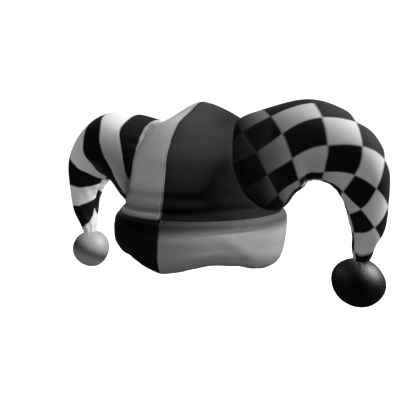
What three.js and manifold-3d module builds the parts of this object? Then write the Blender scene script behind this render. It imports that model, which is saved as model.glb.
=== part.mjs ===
// A jester hat: a cloth crown in two colours, a padded cuff, and two stuffed horns with a ball on each end.
// Millimetres, +Z up. The hat faces -Y. The origin is the middle of the seam between crown and cuff.
import * as THREE from 'three';
import { LoftGeometry } from 'three/addons/geometries/LoftGeometry.js';
import { mergeVertices } from 'three/addons/utils/BufferGeometryUtils.js';
import Module from 'manifold-3d';

const wasm = await Module();
wasm.setup();

// Head opening and cloth
const headHalfWidth = 91.5; // inside the crown at its lower seam, from side to side
const headHalfDepth = 98; // the same, from front to back
const cloth = 2.5; // wall of the crown
const seamGap = 0.3; // between two pieces that are sewn together

// Crown
const crownHeight = 120.5; // from the lower seam to the tip
const crownLean = 4; // how far the upper crown leans towards +X
const crownHalfWidth = headHalfWidth + cloth;
const crownHalfDepth = headHalfDepth + cloth;

// Cuff
const cuffDrop = 58; // from the seam to the hem over the ears
const cuffPuff = 5.8; // how far the padding stands out past the crown seam
const cuffWall = 7; // thickest part of the padded wall

// Horns
const rootOut = 0.4255; // place of a horn's root, as a share of the crown's half width
const rootUp = 0.2655; // and as a share of the crown's height
const hornReach = 137.5; // from the root out to the farthest point of the horn's middle line
const hornRise = 39; // from the root up to the top of the arch
const hornFall = 118; // from the top of the arch down to the tip
const hornHalfHeight = 52; // half thickness at the root, across the arch
const hornHalfDepth = 60; // half thickness at the root, from front to back
const hornBend = 0.06; // share of the middle line, each way, over which a ring takes its direction

// Balls
const ballRadius = 25.2;
const ballTuck = 1.7; // how far the tip of a horn is drawn into its ball

// Number of flat faces
const crownSides = 40;
const crownRings = 17;
const cuffSides = 48;
const hornSides = 26;
const hornRings = 22;
const ballSides = 22;
const ballRings = 14;

// Outline of the crown. up is a share of crownHeight, wide and deep are shares of the crown's half width
// and half depth, lean is a share of crownLean. The second to sixth rows are the soft roll over the seam.
const crownRows = [
  { up: 0.0, wide: 1.0, deep: 1.0, lean: 0.0 },
  { up: 0.03, wide: 0.958, deep: 0.976, lean: 0.0 },
  { up: 0.06, wide: 0.918, deep: 0.95, lean: 0.0 },
  { up: 0.115, wide: 0.899, deep: 0.946, lean: 0.0 },
  { up: 0.175, wide: 0.862, deep: 0.918, lean: 0.0 },
  { up: 0.24, wide: 0.852, deep: 0.906, lean: 0.0 },
  { up: 0.34, wide: 0.826, deep: 0.88, lean: 0.0 },
  { up: 0.46, wide: 0.795, deep: 0.854, lean: 0.0 },
  { up: 0.565, wide: 0.745, deep: 0.788, lean: 0.25 },
  { up: 0.65, wide: 0.68, deep: 0.716, lean: 0.5 },
  { up: 0.75, wide: 0.565, deep: 0.588, lean: 0.75 },
  { up: 0.87, wide: 0.36, deep: 0.33, lean: 1.0 },
  { up: 0.96, wide: 0.165, deep: 0.13, lean: 0.5 },
  { up: 1.0, wide: 0.025, deep: 0.02, lean: 0.0 },
];

// Section of the cuff from the seam down to the hem. down is a share of the hem's drop at that place, side
// and front are shares of cuffPuff that the outside stands out by, wall is a share of cuffWall. Two shallow
// creases run below the seam, at the third and fifth rows.
const cuffRows = [
  { down: 0.0, side: 0.0, front: 0.0, wall: 0.357 },
  { down: 0.09, side: 0.46, front: 0.5, wall: 0.72 },
  { down: 0.17, side: 0.54, front: 0.56, wall: 0.8 },
  { down: 0.235, side: 0.74, front: 0.82, wall: 0.95 },
  { down: 0.3, side: 0.7, front: 0.82, wall: 0.95 },
  { down: 0.4, side: 0.74, front: 0.98, wall: 1.0 },
  { down: 0.56, side: 0.6, front: 1.0, wall: 1.0 },
  { down: 0.72, side: 0.4, front: 0.9, wall: 1.0 },
  { down: 0.88, side: -0.1, front: 0.52, wall: 0.9 },
  { down: 0.97, side: -0.62, front: 0.18, wall: 0.66 },
  { down: 1.0, side: -1.03, front: -0.09, wall: 0.28 },
];

// Drop of the hem, as a share of cuffDrop. turn is the angle from the front, in degrees, the same on both
// sides: a point at the front and one at the back, with the deepest lobes over the ears.
const hemRows = [
  { turn: 0, drop: 0.853 },
  { turn: 10, drop: 0.807 },
  { turn: 20, drop: 0.741 },
  { turn: 30, drop: 0.707 },
  { turn: 45, drop: 0.759 },
  { turn: 60, drop: 0.888 },
  { turn: 75, drop: 0.974 },
  { turn: 90, drop: 1.0 },
  { turn: 105, drop: 0.974 },
  { turn: 120, drop: 0.888 },
  { turn: 135, drop: 0.759 },
  { turn: 150, drop: 0.707 },
  { turn: 165, drop: 0.759 },
  { turn: 180, drop: 0.828 },
];

// Middle line and thickness of a horn from root to tip. out, rise and fall are shares of hornReach, hornRise
// and hornFall, tall and deep are shares of hornHalfHeight and hornHalfDepth.
const hornRows = [
  { out: 0.0, rise: 0.0, fall: 0.0, tall: 1.0, deep: 1.0 },
  { out: 0.16, rise: 0.36, fall: 0.0, tall: 1.048, deep: 1.008 },
  { out: 0.349, rise: 0.77, fall: 0.0, tall: 0.913, deep: 0.892 },
  { out: 0.553, rise: 1.0, fall: 0.0, tall: 0.808, deep: 0.792 },
  { out: 0.749, rise: 1.0, fall: 0.059, tall: 0.663, deep: 0.667 },
  { out: 0.895, rise: 1.0, fall: 0.212, tall: 0.529, deep: 0.533 },
  { out: 0.975, rise: 1.0, fall: 0.466, tall: 0.385, deep: 0.375 },
  { out: 1.0, rise: 1.0, fall: 0.729, tall: 0.288, deep: 0.283 },
  { out: 0.973, rise: 1.0, fall: 1.0, tall: 0.144, deep: 0.142 },
];

// Colours
const white = new THREE.MeshStandardMaterial({ color: 0xe4e4e2, roughness: 0.9 });
const black = new THREE.MeshStandardMaterial({ color: 0x161617, roughness: 0.85 });

// Reads a table as one smooth curve, its rows spaced by their distance in the columns named in along.
function smoothTable(rows, along, ending) {
  const columns = Object.keys(rows[0]);
  const places = [0];
  for (let i = 1; i < rows.length; i++) {
    const steps = along.map((name) => rows[i][name] - rows[i - 1][name]);
    places.push(places[i - 1] + Math.hypot(...steps));
  }
  const values = rows.flatMap((row) => columns.map((name) => row[name]));
  const curve = new THREE.CubicInterpolant(places, values, columns.length);
  curve.settings = { endingStart: ending, endingEnd: ending };
  return (share) => {
    const row = curve.evaluate(share * places.at(-1));
    return Object.fromEntries(columns.map((name, i) => [name, row[i]]));
  };
}

// A geometry with its shared vertices merged, as a solid that can be joined and cut.
function solidOf(geometry) {
  const bare = new THREE.BufferGeometry();
  bare.setAttribute('position', geometry.getAttribute('position'));
  bare.setIndex(geometry.index);
  const merged = mergeVertices(bare, 1e-4);
  const mesh = new wasm.Mesh({
    numProp: 3,
    vertProperties: new Float32Array(merged.attributes.position.array),
    triVerts: new Uint32Array(merged.index.array),
  });
  return new wasm.Manifold(mesh);
}

// A named mesh of a finished solid.
function meshOf(name, solid, material) {
  const made = solid.getMesh();
  const geometry = new THREE.BufferGeometry();
  geometry.setAttribute('position', new THREE.BufferAttribute(made.vertProperties, 3));
  geometry.setIndex(new THREE.BufferAttribute(made.triVerts, 1));
  geometry.computeVertexNormals();
  const mesh = new THREE.Mesh(geometry, material);
  mesh.name = name;
  return mesh;
}

// The half of a solid on one side of the front and back seams: side is 1 for +X and -1 for -X.
function halfOf(solid, side) {
  const size = 4 * (crownHalfWidth + crownHalfDepth + crownHeight + cuffDrop);
  const box = new THREE.BoxGeometry(size, size, size);
  box.translate(side * (size / 2 + seamGap / 2), 0, 0);
  return solid.intersect(solidOf(box));
}

// The crown's outside, inset by a distance and filled. Its lowest ring is at the height bottom.
function crownSolid(inset, bottom) {
  const rows = crownRows.map((row) => ({
    z: row.up * (crownHeight - inset),
    wide: row.wide * (crownHalfWidth - inset),
    deep: row.deep * (crownHalfDepth - inset),
    lean: row.lean * crownLean,
  }));
  const outline = smoothTable(rows, ['z', 'wide']);
  const rings = [];
  for (let i = 0; i <= crownRings; i++) {
    const { z, wide, deep, lean } = outline(i / crownRings);
    const ring = [];
    for (let j = 0; j < crownSides; j++) {
      const angle = (2 * Math.PI * j) / crownSides;
      ring.push(new THREE.Vector3(lean + wide * Math.cos(angle), deep * Math.sin(angle), i ? z : bottom));
    }
    rings.push(ring);
  }
  return solidOf(new LoftGeometry(rings, { capStart: true, capEnd: true }));
}

const hem = smoothTable(hemRows, ['turn'], THREE.ZeroSlopeEnding);

// A point of the cuff at an angle from the front: it stands out past the crown seam, and lies down by a share.
function cuffPoint(angle, row, inward) {
  const turn = Math.acos(Math.cos(angle));
  const drop = hem(turn / Math.PI).drop * cuffDrop;
  const wide = crownHalfWidth + row.side * cuffPuff - inward;
  const deep = crownHalfDepth + row.front * cuffPuff - inward;
  return new THREE.Vector3(wide * Math.sin(angle), -deep * Math.cos(angle), -seamGap / 2 - row.down * drop);
}

// The padded cuff as one closed ring: each section goes down its outside and comes back up its inside.
function cuffSolid() {
  const sections = [];
  for (let i = 0; i <= cuffSides; i++) {
    const angle = (2 * Math.PI * (i % cuffSides)) / cuffSides;
    const outside = cuffRows.map((row) => cuffPoint(angle, row, 0));
    const inside = cuffRows.slice(0, -1).map((row) => cuffPoint(angle, row, row.wall * cuffWall));
    sections.push([...outside, ...inside.reverse()]);
  }
  return solidOf(new LoftGeometry(sections));
}

// The cuff's outside, filled and a little larger, to cut what is sewn on above it.
function cuffCutter() {
  const rings = cuffRows.map((row) => {
    const ring = [];
    for (let j = 0; j < cuffSides; j++) ring.push(cuffPoint((-2 * Math.PI * j) / cuffSides, row, -seamGap));
    return ring;
  });
  rings[0].forEach((point) => point.setZ(seamGap));
  return solidOf(new LoftGeometry(rings, { capStart: true, capEnd: true }));
}

// The middle line of a horn in its own plane, from root to tip.
const rootX = rootOut * crownHalfWidth;
const rootZ = rootUp * crownHeight;
const hornCurve = smoothTable(
  hornRows.map((row) => ({
    x: rootX + row.out * hornReach,
    z: rootZ + row.rise * hornRise - row.fall * hornFall,
    tall: row.tall * hornHalfHeight,
    deep: row.deep * hornHalfDepth,
  })),
  ['x', 'z'],
);

// One ring of a horn, square to its middle line.
function hornRing(share, side) {
  const here = hornCurve(share);
  const before = hornCurve(Math.max(share - hornBend, 0));
  const after = hornCurve(Math.min(share + hornBend, 1));
  const along = new THREE.Vector2(after.x - before.x, after.z - before.z).normalize();
  const ring = [];
  for (let j = 0; j < hornSides; j++) {
    const angle = (2 * Math.PI * j) / hornSides;
    const out = here.tall * Math.sin(angle);
    const x = here.x - out * along.y;
    ring.push(new THREE.Vector3(side * x, side * here.deep * Math.cos(angle), here.z + out * along.x));
  }
  return ring;
}

// A whole horn, from inside the crown to inside its ball.
function hornSolid(side) {
  const rings = [];
  for (let i = 0; i <= hornRings; i++) rings.push(hornRing(i / hornRings, side));
  return solidOf(new LoftGeometry(rings, { capStart: true, capEnd: true }));
}

// The ball hangs straight down from the tip of its horn.
const hornTip = hornCurve(1);
const ballPlace = new THREE.Vector3(hornTip.x, 0, hornTip.z - ballRadius + ballTuck);

function ballGeometry(radius) {
  return new THREE.SphereGeometry(radius, ballSides, ballRings).rotateX(Math.PI / 2);
}

function ballMesh(name, side, material) {
  const mesh = meshOf(name, solidOf(ballGeometry(ballRadius)), material);
  mesh.position.set(side * ballPlace.x, ballPlace.y, ballPlace.z);
  return mesh;
}

// A horn fitted to what it is sewn to: the crown, the cuff's upper edge and its ball.
const crownAndCuff = crownSolid(-seamGap, seamGap / 2).add(cuffCutter());

function hornMesh(name, side, material) {
  const ball = solidOf(ballGeometry(ballRadius + seamGap).translate(side * ballPlace.x, 0, ballPlace.z));
  return meshOf(name, hornSolid(side).subtract(crownAndCuff).subtract(ball), material);
}

// The finished hat
const crown = crownSolid(0, seamGap / 2).subtract(crownSolid(cloth, -seamGap));
const cuff = cuffSolid();

const hat = new THREE.Group();
hat.name = 'jester_hat';
hat.add(
  meshOf('crown_white', halfOf(crown, -1), white),
  meshOf('crown_black', halfOf(crown, 1), black),
  meshOf('cuff_black', halfOf(cuff, -1), black),
  meshOf('cuff_white', halfOf(cuff, 1), white),
  hornMesh('horn_striped', -1, white),
  hornMesh('horn_checked', 1, black),
  ballMesh('ball_white', -1, white),
  ballMesh('ball_black', 1, black),
);

export default hat;
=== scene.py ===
# %% [markdown]
# # A jester hat in black and white cloth
# The hat is sewn from velour: a crown and a padded cuff, each half white and half black, and two stuffed
# horns that arch out over the ears and end in round balls. One horn is striped and one is checked.
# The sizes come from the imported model, so the first step is to load it.

# %% Load the model that the cloth is fitted to
import math

import bmesh
import bpy
import numpy as np
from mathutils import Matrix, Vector


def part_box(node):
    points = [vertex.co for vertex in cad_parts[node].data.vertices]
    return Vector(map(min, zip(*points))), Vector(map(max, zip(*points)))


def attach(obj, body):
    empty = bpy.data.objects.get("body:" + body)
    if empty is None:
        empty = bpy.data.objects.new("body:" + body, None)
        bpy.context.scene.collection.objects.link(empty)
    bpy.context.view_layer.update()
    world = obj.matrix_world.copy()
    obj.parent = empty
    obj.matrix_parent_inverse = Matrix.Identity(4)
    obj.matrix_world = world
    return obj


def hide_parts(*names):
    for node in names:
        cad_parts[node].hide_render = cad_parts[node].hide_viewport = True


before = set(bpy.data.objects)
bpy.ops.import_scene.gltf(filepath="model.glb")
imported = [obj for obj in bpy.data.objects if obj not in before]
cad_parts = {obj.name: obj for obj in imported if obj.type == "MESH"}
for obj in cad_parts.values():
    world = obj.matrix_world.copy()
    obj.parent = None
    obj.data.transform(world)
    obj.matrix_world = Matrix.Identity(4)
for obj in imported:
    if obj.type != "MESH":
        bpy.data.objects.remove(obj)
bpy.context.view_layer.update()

print("pieces in the frame:", sorted(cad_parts))

# %% [markdown]
# ## The camera
# The photograph was taken close to the hat with a wide lens, a little from the hat's left and slightly from
# above. The camera comes first, so that each later piece can be judged through it. Its place and its turn
# were found by fitting the outline of the hat, and its lens gives a field of view of 70 degrees.

# %% Camera
CAMERA_PLACE = Vector((0.13685, -0.33009, 0.05151))
CAMERA_TURN = math.radians(21.089)
CAMERA_RISE = math.radians(8.968)
FIELD_OF_VIEW = math.radians(69.98)
def add_object(name, data):
    """A new object in the scene, at the origin."""
    made = bpy.data.objects.new(name, data)
    bpy.context.scene.collection.objects.link(made)
    return made


camera_data = bpy.data.cameras.new("camera")
camera_data.sensor_width = 36.0
camera_data.lens = camera_data.sensor_width / (2 * math.tan(FIELD_OF_VIEW / 2))
camera_data.clip_start = 0.01
camera = add_object("camera", camera_data)
camera.location = CAMERA_PLACE
camera.rotation_euler = (math.pi / 2 - CAMERA_RISE, 0.0, CAMERA_TURN)
bpy.context.scene.camera = camera
print("lens in mm:", round(camera_data.lens, 2))

# %% [markdown]
# ## Sizes
# The sizes of the crown, the cuff and the balls are taken from the boxes of the imported pieces, the others
# are given as numbers, and the outlines are short tables of shares of the sizes. A hat maker works in the same
# way: a few measures of the head, and a pattern that scales with them.

# %% Measures of the hat
crown_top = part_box("crown_black")[1]
cuff_low, cuff_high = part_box("cuff_white")
horn_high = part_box("horn_checked")[1]
ball_low, ball_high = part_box("ball_black")

CROWN_WIDE = crown_top.x
CROWN_DEEP = crown_top.y
CROWN_TALL = crown_top.z
CROWN_LEAN = 0.004
CLOTH = 0.0025
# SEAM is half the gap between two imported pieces, and SLIT keeps the two halves of cloth just apart.
SEAM = 0.00015
SLIT = 0.00001
CUFF_DROP = -cuff_low.z - SEAM
CUFF_PUFF = 0.0058
CUFF_WALL = 0.007
BALL_RADIUS = (ball_high.z - ball_low.z) / 2
BALL_PLACE = Vector(((ball_low.x + ball_high.x) / 2, 0.0, (ball_low.z + ball_high.z) / 2))
ROOT_X = 0.4255 * CROWN_WIDE
ROOT_Z = 0.2655 * CROWN_TALL
HORN_REACH = 0.1375
HORN_RISE = 0.039
HORN_FALL = 0.118
HORN_TALL = 0.052
HORN_DEEP = 0.060
HORN_BEND = 0.06
print("crown", round(CROWN_WIDE, 4), round(CROWN_DEEP, 4), round(CROWN_TALL, 4))
print("ball", round(BALL_RADIUS, 4), [round(v, 4) for v in BALL_PLACE])

# %% [markdown]
# ## Helpers for smooth cloth
# A table of a few rows is read as one smooth curve, and a sum of soft waves gives the slow unevenness that
# stuffed cloth always has. Both are plain arithmetic, so each run gives the same hat.

# %% A table read as a smooth curve
def smooth_rows(rows, spaced_by, flat_ends=False):
    """Return a function that reads rows from 0, the first, to 1, the last, spaced by the named columns."""
    rows = np.asarray(rows, float)
    steps = np.diff(rows[:, list(spaced_by)], axis=0)
    places = np.concatenate([[0.0], np.cumsum(np.linalg.norm(steps, axis=1))])
    slopes = np.diff(rows, axis=0) / np.diff(places)[:, None]
    tangents = np.vstack([slopes[:1], (slopes[:-1] + slopes[1:]) / 2, slopes[-1:]])
    if flat_ends:
        tangents[[0, -1]] = 0.0

    def at(share):
        place = np.clip(np.asarray(share, float), 0.0, 1.0) * places[-1]
        i = np.clip(np.searchsorted(places, place, side="right") - 1, 0, len(places) - 2)
        width = (places[i + 1] - places[i])[..., None]
        u = (place - places[i])[..., None] / width
        start = (2 * u**3 - 3 * u**2 + 1) * rows[i] + (u**3 - 2 * u**2 + u) * width * tangents[i]
        end = (3 * u**2 - 2 * u**3) * rows[i + 1] + (u**3 - u**2) * width * tangents[i + 1]
        return start + end

    return at


print("half way between (0, 0) and (1, 2):", smooth_rows([(0, 0), (1, 2)], spaced_by=(0,))(0.5))


# %% Soft unevenness and small shapes of folds
def soft_noise(points, size, seed, waves=9):
    """Smooth bumps of about the given size, mostly between -1 and 1."""
    rng = np.random.default_rng(seed)
    total = np.zeros(points.shape[:-1])
    for _ in range(waves):
        direction = rng.normal(size=3)
        direction /= np.linalg.norm(direction)
        pitch = size * rng.uniform(0.8, 1.8)
        total += np.sin(points @ direction * (2 * math.pi / pitch) + rng.uniform(0, 2 * math.pi))
    return total / math.sqrt(waves)


def bell(distance, width):
    """1 at a distance of nothing, falling to 0 over about twice the width."""
    return np.exp(-((distance / width) ** 2))


def fade(value, start, end):
    """0 before start, 1 after end, and a smooth step between."""
    t = np.clip((value - start) / (end - start), 0.0, 1.0)
    return t * t * (3 - 2 * t)


print("a bell at half its width:", round(float(bell(0.5, 1.0)), 3))
print("a fade at a quarter of its way:", float(fade(0.25, 0, 1)))


# %% Grids of points and their meshes
def grid_normals(points, ring):
    """Unit normals of a grid of points. ring says whether the second direction closes on itself."""
    along = np.gradient(points, axis=0)
    around = np.roll(points, -1, 1) - np.roll(points, 1, 1) if ring else np.gradient(points, axis=1)
    normals = np.cross(along, around)
    return normals / np.maximum(np.linalg.norm(normals, axis=-1, keepdims=True), 1e-12)


def grid_faces(rows, columns, ring_rows=False, ring_columns=False):
    """The faces of a grid, as indices into its points."""
    down = np.arange(rows if ring_rows else rows - 1)
    across = np.arange(columns if ring_columns else columns - 1)
    i, j = np.meshgrid(down, across, indexing="ij")
    i2 = (i + 1) % rows
    j2 = (j + 1) % columns
    corners = [i * columns + j, i * columns + j2, i2 * columns + j2, i2 * columns + j]
    return np.stack(corners, -1).reshape(-1, 4)
def fan(ring, hub):
    """Triangles from each edge of a ring of points to one hub."""
    return np.stack([ring, np.roll(ring, -1), np.full(len(ring), hub)], 1)


print("a grid of 3 by 4 points has", len(grid_faces(3, 4)), "faces")

# %% A piece of cloth from its points and faces
MERGE_WITHIN = 2e-6


def face_outwards(mesh, merge_within=0.0):
    """Merge points that meet and turn all faces outwards. Returns how many edges are open."""
    work = bmesh.new()
    work.from_mesh(mesh)
    if merge_within:
        bmesh.ops.remove_doubles(work, verts=work.verts, dist=merge_within)
    bmesh.ops.recalc_face_normals(work, faces=work.faces)
    open_edges = sum(not edge.is_manifold for edge in work.edges)
    work.to_mesh(mesh)
    work.free()
    return open_edges


def make_piece(name, points, face_groups, material, pattern=None, painted_print_shade=None, painted_shade=None):
    """A closed smooth mesh at the origin, its meeting points merged and its faces pointing out."""
    faces = [face for group in face_groups for face in group.tolist()]
    mesh = bpy.data.meshes.new(name)
    mesh.from_pydata(points.tolist(), [], faces)
    # The attributes hold painted shade that darkens the cloth's colour.
    for key, values in (("painted_print_shade", painted_print_shade), ("painted_shade", painted_shade)):
        if values is not None:
            layer = mesh.attributes.new(key, "FLOAT", "POINT")
            layer.data.foreach_set("value", np.clip(values, 0, 1).astype(np.float32).ravel())
    if pattern is not None:
        corners = np.empty(len(mesh.loops), np.int32)
        mesh.loops.foreach_get("vertex_index", corners)
        layer = mesh.uv_layers.new(name="pattern")
        layer.data.foreach_set("uv", np.asarray(pattern, np.float32)[corners].ravel())
    open_edges = face_outwards(mesh, MERGE_WITHIN)
    mesh.shade_smooth()
    mesh.materials.append(material)
    print(name, "faces", len(mesh.polygons), "open edges", open_edges)
    return add_object(name, mesh)


# %% [markdown]
# ## Outlines
# The crown swells gently, has a soft roll just above its seam, and draws in to a low point at the top. The
# cuff stands out below it with a wavy hem. The tables hold shares of the sizes above.

# %% Outline of the crown
CROWN_ROWS = [
    # up, wide, deep, lean
    (0.0, 1.0, 1.0, 0.0),
    (0.03, 0.958, 0.976, 0.0),
    (0.06, 0.918, 0.95, 0.0),
    (0.115, 0.899, 0.946, 0.0),
    (0.175, 0.862, 0.918, 0.0),
    (0.24, 0.852, 0.906, 0.0),
    (0.34, 0.826, 0.88, 0.0),
    (0.46, 0.795, 0.854, 0.0),
    (0.565, 0.745, 0.788, 0.25),
    (0.65, 0.68, 0.716, 0.5),
    (0.75, 0.565, 0.588, 0.75),
    (0.87, 0.36, 0.33, 1.0),
    (0.96, 0.165, 0.13, 0.5),
    (1.0, 0.025, 0.02, 0.0),
]
crown_outline = smooth_rows(
    np.array(CROWN_ROWS) * (CROWN_TALL, CROWN_WIDE, CROWN_DEEP, CROWN_LEAN), spaced_by=(0, 1)
)
print("the crown's outline rises to", round(float(crown_outline(1.0)[0]), 4), "m")

# %% Outline of the cuff and its hem
CUFF_ROWS = [
    # down, side, front, wall
    (0.0, 0.0, 0.0, 0.357),
    (0.09, 0.42, 0.44, 0.7),
    (0.17, 0.6, 0.64, 0.85),
    (0.26, 0.71, 0.8, 0.94),
    (0.4, 0.75, 0.96, 1.0),
    (0.56, 0.6, 1.0, 1.0),
    (0.72, 0.4, 0.9, 1.0),
    (0.88, -0.1, 0.52, 0.9),
    (0.97, -0.62, 0.18, 0.66),
    (1.0, -1.03, -0.09, 0.28),
]
HEM_ROWS = [
    # turn from the front in degrees, drop
    (0, 0.853),
    (10, 0.807),
    (20, 0.741),
    (30, 0.707),
    (45, 0.759),
    (60, 0.888),
    (75, 0.974),
    (90, 1.0),
    (105, 0.974),
    (120, 0.888),
    (135, 0.759),
    (150, 0.707),
    (165, 0.759),
    (180, 0.828),
]
cuff_outline = smooth_rows(np.array(CUFF_ROWS) * (1, CUFF_PUFF, CUFF_PUFF, CUFF_WALL), spaced_by=(0,))
hem_outline = smooth_rows(HEM_ROWS, spaced_by=(0,), flat_ends=True)


def hem_drop(turn):
    """How far the hem lies below the seam, at an angle from the front."""
    return hem_outline(np.arccos(np.cos(turn)) / math.pi)[..., 1] * CUFF_DROP


print("the hem's drop at the front and over the ear:", hem_drop(np.array((0.0, math.pi / 2))).round(4))


# %% How far a point stands clear of the crown and the cuff
def outline_by_height():
    """Height, half width, half depth and lean of the hat's outside, from the hem to the tip of the crown."""
    crown = crown_outline(np.linspace(0, 1, 300))
    cuff = cuff_outline(np.linspace(1, 0, 80))[:-1]
    below = [-cuff[:, 0] * CUFF_DROP, CROWN_WIDE + cuff[:, 1], CROWN_DEEP + cuff[:, 2], 0 * cuff[:, 0]]
    return np.vstack([np.stack(below, 1), crown])


HAT_OUTLINE = outline_by_height()


def against_hat(points):
    """The hat's lean and mean half width at each point's height, and how far out it lies: 1 is level."""
    height = points[..., 2]
    wide, deep, lean = (np.interp(height, HAT_OUTLINE[:, 0], HAT_OUTLINE[:, column]) for column in (1, 2, 3))
    ratio = np.hypot((points[..., 0] - lean) / wide, points[..., 1] / deep)
    return lean, (wide + deep) / 2, ratio


def clear_of_hat(points):
    """About how far points lie outside the crown and cuff, negative inside."""
    _, size, ratio = against_hat(points)
    return (ratio - 1) * size


def onto_hat(points, clearance):
    """Points pushed level with the hat's outside, at a small clearance from it."""
    lean, size, ratio = against_hat(points)
    push = (1 + clearance / size) / ratio
    return np.stack([lean + (points[..., 0] - lean) * push, points[..., 1] * push, points[..., 2]], -1)


seam_point = np.array((CROWN_WIDE, 0.0, 0.0))
print("a point on the crown's seam is clear of the hat by", clear_of_hat(seam_point).round(5))


# %% [markdown]
# ## The form of a horn
# A horn is a tapering tube. Its middle line leaves the crown, rises, arches over and hangs down, and its
# rings are ovals square to that line. The turn round a ring is 0 along the top of the arch, a quarter turn
# at the front, and a half turn along the underside.

# %% Middle line and rings of a horn
HORN_ROWS = np.array([
    # out, rise, fall, tall, deep
    (0.0, 0.0, 0.0, 1.0, 1.0),
    (0.16, 0.36, 0.0, 1.048, 1.008),
    (0.349, 0.77, 0.0, 0.913, 0.892),
    (0.553, 1.0, 0.0, 0.808, 0.792),
    (0.749, 1.0, 0.059, 0.663, 0.667),
    (0.895, 1.0, 0.212, 0.529, 0.533),
    (0.975, 1.0, 0.466, 0.385, 0.375),
    (1.0, 1.0, 0.729, 0.288, 0.283),
    (0.973, 1.0, 1.0, 0.144, 0.142),
])
horn_curve = smooth_rows(
    np.stack([
        ROOT_X + HORN_ROWS[:, 0] * HORN_REACH,
        ROOT_Z + HORN_ROWS[:, 1] * HORN_RISE - HORN_ROWS[:, 2] * HORN_FALL,
        HORN_ROWS[:, 3] * HORN_TALL,
        HORN_ROWS[:, 4] * HORN_DEEP,
    ], 1),
    spaced_by=(0, 1),
)
horn_line = horn_curve(np.linspace(0, 1, 200))[:, :2]
HORN_LENGTH = float(np.linalg.norm(np.diff(horn_line, axis=0), axis=1).sum())


def horn_points(share, turn, side):
    """Points on a horn. side is 1 for the checked horn at +X and -1 for the striped one."""
    here = horn_curve(share)
    step = horn_curve(share + HORN_BEND)[..., :2] - horn_curve(share - HORN_BEND)[..., :2]
    step = step / np.linalg.norm(step, axis=-1, keepdims=True)
    over = here[..., 2] * np.cos(turn)
    x = here[..., 0] - over * step[..., 1]
    z = here[..., 1] + over * step[..., 0]
    y = -here[..., 3] * np.sin(turn)
    return np.stack([side * x, y, z], -1)


print("length of a horn's middle line:", round(HORN_LENGTH, 3))

# %% Where a horn leaves the crown and where it meets its ball
HORN_COLUMNS = 144
HORN_ROWS_FINE = 220
SEAM_TURN = math.radians(172)
horn_turns = SEAM_TURN + np.arange(HORN_COLUMNS) * (2 * math.pi / HORN_COLUMNS)
def last_true(flags):
    """The last row that is true, in each column."""
    return len(flags) - 1 - np.argmax(flags[::-1], axis=0)


def horn_span(side):
    """For each turn, the shares of the middle line where the cloth starts and ends."""
    low = np.linspace(0, 0.5, 1200)
    high = np.linspace(0.9, 1, 400)
    inside = clear_of_hat(horn_points(low[:, None], horn_turns[None, :], side)) < 2 * SEAM
    from_ball = horn_points(high[:, None], horn_turns[None, :], side) - (side * BALL_PLACE.x, 0, BALL_PLACE.z)
    outside_ball = np.linalg.norm(from_ball, axis=-1) > BALL_RADIUS + 2 * SEAM
    return low[np.minimum(last_true(inside) + 1, len(low) - 1)], high[last_true(outside_ball)]


horn_spans = {side: horn_span(side) for side in (-1, 1)}
horn_roots = {side: horn_points(span[0], horn_turns, side) for side, span in horn_spans.items()}
root_shares = horn_spans[1][0]
print("the checked horn starts at shares", root_shares.min().round(3), "to", root_shares.max().round(3))


def distance_to_root(points, side):
    """Distance from points to the seam that joins a horn to the crown."""
    flat = points.reshape(-1, 3)
    best = np.full(len(flat), 1.0)
    for place in horn_roots[side]:
        best = np.minimum(best, np.linalg.norm(flat - place, axis=1))
    return best.reshape(points.shape[:-1])


# %% [markdown]
# ## Velour
# Velour is a knitted cloth with a short dense pile. Up close it is a fine grain, and from further away it
# shows soft patches where the pile lies one way or the other. A sheen gives the pale rim that light makes on
# the ends of the pile. The grain is a bump too fine to model, so it is left to the shader.

# %% Nodes of a material
def set_inputs(made, **values):
    """Set a node's inputs by name: a socket is linked, and anything else is a plain value."""
    for key, value in values.items():
        socket = made.inputs[key.replace("_", " ")]
        if isinstance(value, bpy.types.NodeSocket):
            made.id_data.links.new(value, socket)
        else:
            socket.default_value = value


def node(tree, kind, **settings):
    """A new node, with its own settings and its inputs by name."""
    made = tree.nodes.new(kind)
    own = [key for key in settings if key in made.bl_rna.properties]
    for key in own:
        setattr(made, key, settings.pop(key))
    set_inputs(made, **settings)
    return made


def maths(tree, operation, *values):
    """One step of arithmetic on sockets and numbers."""
    made = node(tree, "ShaderNodeMath", operation=operation)
    for socket, value in zip(made.inputs, values):
        if isinstance(value, (int, float)):
            socket.default_value = value
        else:
            tree.links.new(value, socket)
    return made.outputs[0]


def mix_colour(tree, factor, first, second):
    """A mix of two colours, each a socket or a plain colour. factor is a socket."""
    mix = node(tree, "ShaderNodeMix", data_type="RGBA", Factor=factor)
    for socket, value in ((mix.inputs[6], first), (mix.inputs[7], second)):
        if isinstance(value, tuple):
            socket.default_value = (*value, 1.0)
        else:
            tree.links.new(value, socket)
    return mix.outputs[2]


def between(tree, value, low, high):
    """A socket from 0 to 1, read between two other values."""
    return node(tree, "ShaderNodeMapRange", Value=value, To_Min=low, To_Max=high).outputs[0]


def new_material(name):
    """A material, its tree, its shader, and the place of a point on the piece."""
    material = bpy.data.materials.new(name)
    material.use_nodes = True
    tree = material.node_tree
    place = tree.nodes.new("ShaderNodeTexCoord").outputs["Object"]
    return material, tree, tree.nodes["Principled BSDF"], place


# %% Velour shader
PILE_SCALE = 1500.0
PILE_DEPTH = 0.0004
PILE_SHADES = (0.88, 1.1)
NAP_SCALE = 45.0
NAP_SHADES = (0.90, 1.06)
NAP_ROUGHNESS = 0.06
SHEEN_ROUGHNESS = 0.4


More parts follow.
